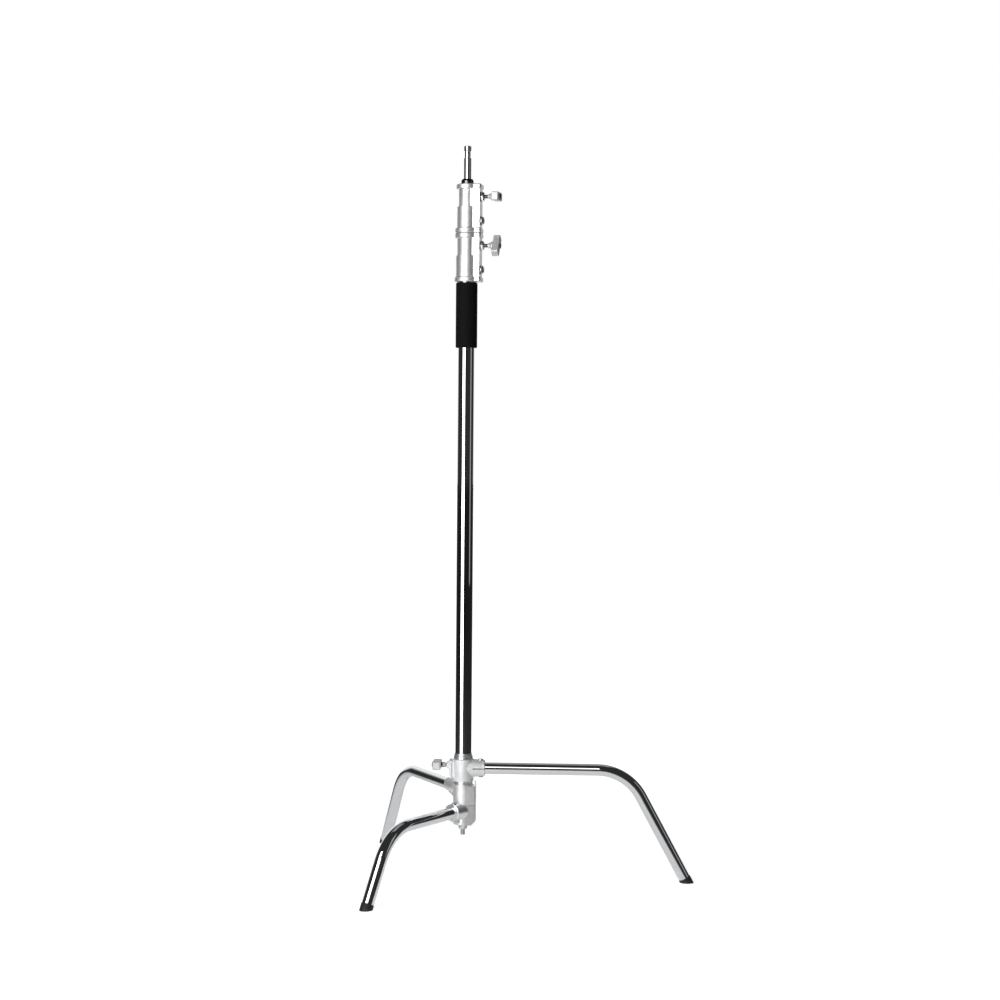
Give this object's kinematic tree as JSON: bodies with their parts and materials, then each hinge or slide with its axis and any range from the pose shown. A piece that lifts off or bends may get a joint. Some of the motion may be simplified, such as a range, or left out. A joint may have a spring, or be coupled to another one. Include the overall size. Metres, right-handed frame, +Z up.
{
  "type": "century light stand",
  "caption": "Folding studio light stand: bent chromed legs turning round a column, telescoping risers with T-handle locks, foam grip and a grooved top pin.",
  "frame": {"origin": "on the column's axis, at floor level", "axes": "+Z up along the column; +X along the large leg, which is the top one; the medium leg points to 120 degrees and the small leg to 240 degrees about +Z"},
  "size_m": [0.7055, 0.6756, 1.5455],
  "materials": {
    "chrome_tube": "polished chrome plate",
    "pin_steel": "turned and plated steel",
    "casting": "satin silver, bead blasted",
    "handle_casting": "satin silver-grey, rough cast",
    "zinc_steel": "zinc plated",
    "brass": "machined",
    "black_rubber": "matt black",
    "black_foam": "matt black, closed-cell foam",
    "black_nylon": "matt black",
    "black_steel": "dark plated"
  },
  "bodies": {
    "column": {"column_tube": "chrome_tube", "column_foot_plug": "zinc_steel", "base_stud": "zinc_steel", "base_nut": "zinc_steel", "thrust_washer": "zinc_steel", "grip_sleeve": "black_foam", "small_leg_casting": "casting", "small_leg_tube": "chrome_tube", "small_leg_foot": "black_rubber", "small_leg_bolt": "zinc_steel", "small_leg_nut": "zinc_steel", "lower_lock_casting": "casting", "lower_guide_bush": "black_nylon", "lower_fixing_bolt": "zinc_steel", "lower_screw_insert": "zinc_steel"},
    "medium_leg": {"medium_leg_casting": "casting", "medium_leg_tube": "chrome_tube", "medium_leg_foot": "black_rubber", "medium_leg_bolt": "zinc_steel", "medium_leg_nut": "zinc_steel"},
    "leg_sleeve": {"sliding_sleeve": "zinc_steel"},
    "large_leg": {"large_leg_casting": "casting", "large_leg_tube": "chrome_tube", "large_leg_foot": "black_rubber", "large_leg_bolt": "zinc_steel", "large_leg_nut": "zinc_steel"},
    "base_shoe": {"base_lock_shoe": "brass"},
    "base_knob": {"base_lock_screw": "zinc_steel", "base_lock_handle": "handle_casting", "base_handle_cap": "black_nylon"},
    "lower_shoe": {"lower_lock_shoe": "brass"},
    "lower_knob": {"lower_lock_screw": "zinc_steel", "lower_lock_handle": "handle_casting", "lower_handle_cap": "black_nylon"},
    "riser_1_slider": {"riser_1_foot_bush": "black_nylon"},
    "riser_1": {"riser_1_tube": "chrome_tube", "upper_lock_casting": "casting", "upper_guide_bush": "black_nylon", "upper_fixing_bolt": "zinc_steel", "upper_screw_insert": "zinc_steel"},
    "upper_shoe": {"upper_lock_shoe": "brass"},
    "upper_knob": {"upper_lock_screw": "zinc_steel", "upper_lock_handle": "handle_casting", "upper_handle_cap": "black_nylon"},
    "riser_2_slider": {"riser_2_foot_bush": "black_nylon"},
    "riser_2": {"riser_2_tube": "chrome_tube", "riser_2_collar": "black_steel", "top_pin": "pin_steel", "pin_roll_pin": "zinc_steel"}
  },
  "joints": [
    {"name": "medium_leg_swing", "type": "hinge", "parent": "column", "child": "medium_leg", "pos_m": [0, 0, 0.1805], "axis": [0, 0, 1], "range_deg": [0, 120]},
    {"name": "sleeve_slide", "type": "slide", "parent": "column", "child": "leg_sleeve", "axis": [0, 0, 1], "range_m": [0, 0.85]},
    {"name": "large_leg_swing", "type": "hinge", "parent": "leg_sleeve", "child": "large_leg", "pos_m": [0, 0, 0.2315], "axis": [0, 0, -1], "range_deg": [0, 120]},
    {"name": "base_shoe_slide", "type": "slide", "parent": "large_leg", "child": "base_shoe", "axis": [-1, 0, 0], "range_m": [0, 0.00189]},
    {"name": "base_knob_turn", "type": "hinge", "parent": "base_shoe", "child": "base_knob", "pos_m": [0, 0, 0.2412], "axis": [-1, 0, 0], "range_deg": [0, 540]},
    {"name": "lower_shoe_slide", "type": "slide", "parent": "column", "child": "lower_shoe", "axis": [0.9898, -0.1426, 0], "range_m": [0, 0.00189]},
    {"name": "lower_knob_turn", "type": "hinge", "parent": "lower_shoe", "child": "lower_knob", "pos_m": [0, 0, 1.3365], "axis": [0.9898, -0.1426, 0], "range_deg": [0, 540]},
    {"name": "riser_1_slide", "type": "slide", "parent": "column", "child": "riser_1_slider", "axis": [0, 0, 1], "range_m": [0, 1]},
    {"name": "riser_1_turn", "type": "hinge", "parent": "riser_1_slider", "child": "riser_1", "pos_m": [0, 0, 0.1555], "axis": [0, 0, 1], "continuous": true},
    {"name": "upper_shoe_slide", "type": "slide", "parent": "riser_1", "child": "upper_shoe", "axis": [0.9898, -0.1426, 0], "range_m": [0, 0.00189]},
    {"name": "upper_knob_turn", "type": "hinge", "parent": "upper_shoe", "child": "upper_knob", "pos_m": [0, 0, 1.4391], "axis": [0.9898, -0.1426, 0], "range_deg": [0, 540]},
    {"name": "riser_2_slide", "type": "slide", "parent": "riser_1", "child": "riser_2_slider", "axis": [0, 0, 1], "range_m": [0, 1]},
    {"name": "riser_2_turn", "type": "hinge", "parent": "riser_2_slider", "child": "riser_2", "pos_m": [0, 0, 0.1685], "axis": [0, 0, 1], "continuous": true}
  ],
  "couplings": [
    {"joint": "base_shoe_slide", "follows": "base_knob_turn", "m_per_rad": 0.00019894},
    {"joint": "lower_shoe_slide", "follows": "lower_knob_turn", "m_per_rad": 0.00019894},
    {"joint": "upper_shoe_slide", "follows": "upper_knob_turn", "m_per_rad": 0.00019894}
  ]
}
